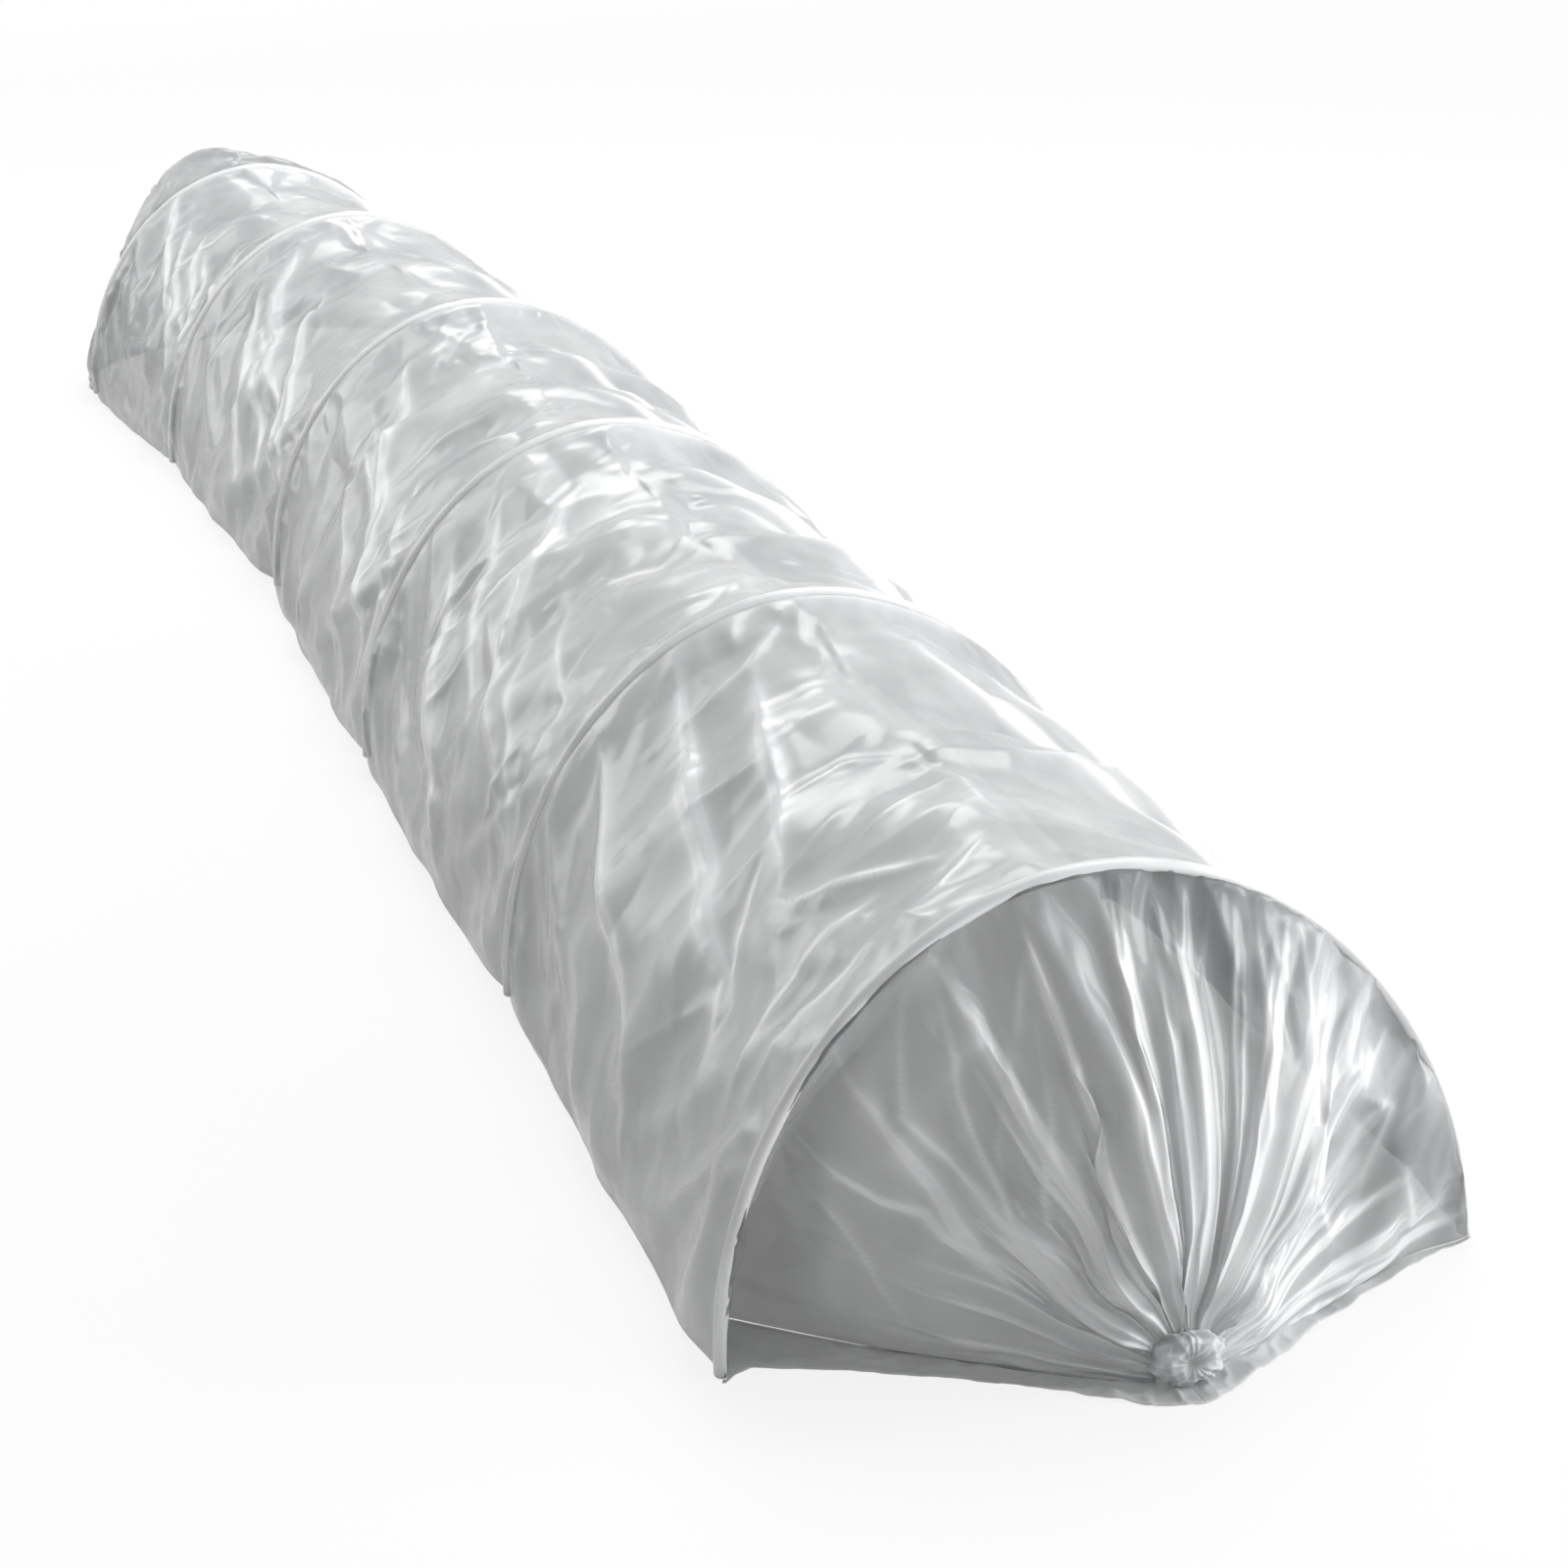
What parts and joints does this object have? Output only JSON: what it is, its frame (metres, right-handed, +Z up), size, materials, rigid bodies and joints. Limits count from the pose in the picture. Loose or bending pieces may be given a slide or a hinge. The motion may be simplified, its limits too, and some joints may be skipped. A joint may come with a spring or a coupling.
{
  "type": "row cover tunnel",
  "caption": "Low garden tunnel: wire hoops in the sleeves of a clear film cover, gathered to a bunch on the ground at both ends, which closes up hoop by hoop like a concertina.",
  "frame": {"origin": "on the ground line, under the middle of the front hoop", "axes": "+Y runs back along the tunnel, +Z up, +X to the right seen from the front; the hoops' legs reach below the ground line"},
  "size_m": [0.578, 3.1578, 0.3782],
  "materials": {
    "galvanised_wire": "dull zinc",
    "sleeve_film": "doubled translucent film",
    "clear_film": "glossy translucent film, creased",
    "bunched_film": "bunched translucent film"
  },
  "bodies": {
    "front_frame": {"hoop_1": "galvanised_wire", "hoop_sleeve_1": "sleeve_film", "bay_film_1": "clear_film", "front_end_film": "clear_film", "front_gather": "bunched_film", "front_apron_left": "clear_film", "front_apron_right": "clear_film"},
    "frame_2": {"hoop_2": "galvanised_wire", "hoop_sleeve_2": "sleeve_film", "bay_film_2": "clear_film"},
    "frame_3": {"hoop_3": "galvanised_wire", "hoop_sleeve_3": "sleeve_film", "bay_film_3": "clear_film"},
    "frame_4": {"hoop_4": "galvanised_wire", "hoop_sleeve_4": "sleeve_film", "bay_film_4": "clear_film"},
    "frame_5": {"hoop_5": "galvanised_wire", "hoop_sleeve_5": "sleeve_film", "bay_film_5": "clear_film"},
    "rear_frame": {"hoop_6": "galvanised_wire", "hoop_sleeve_6": "sleeve_film", "rear_end_film": "clear_film", "rear_gather": "bunched_film", "rear_apron_left": "clear_film", "rear_apron_right": "clear_film"}
  },
  "joints": [
    {"name": "hoop_2_slide", "type": "slide", "parent": "front_frame", "child": "frame_2", "axis": [0, 1, 0], "range_m": [-0.538, 0], "deforming": ["bay_film_1"]},
    {"name": "hoop_3_slide", "type": "slide", "parent": "frame_2", "child": "frame_3", "axis": [0, 1, 0], "range_m": [-0.525, 0], "deforming": ["bay_film_2"]},
    {"name": "hoop_4_slide", "type": "slide", "parent": "frame_3", "child": "frame_4", "axis": [0, 1, 0], "range_m": [-0.533, 0], "deforming": ["bay_film_3"]},
    {"name": "hoop_5_slide", "type": "slide", "parent": "frame_4", "child": "frame_5", "axis": [0, 1, 0], "range_m": [-0.544, 0], "deforming": ["bay_film_4"]},
    {"name": "hoop_6_slide", "type": "slide", "parent": "frame_5", "child": "rear_frame", "axis": [0, 1, 0], "range_m": [-0.383, 0], "deforming": ["bay_film_5"]}
  ]
}
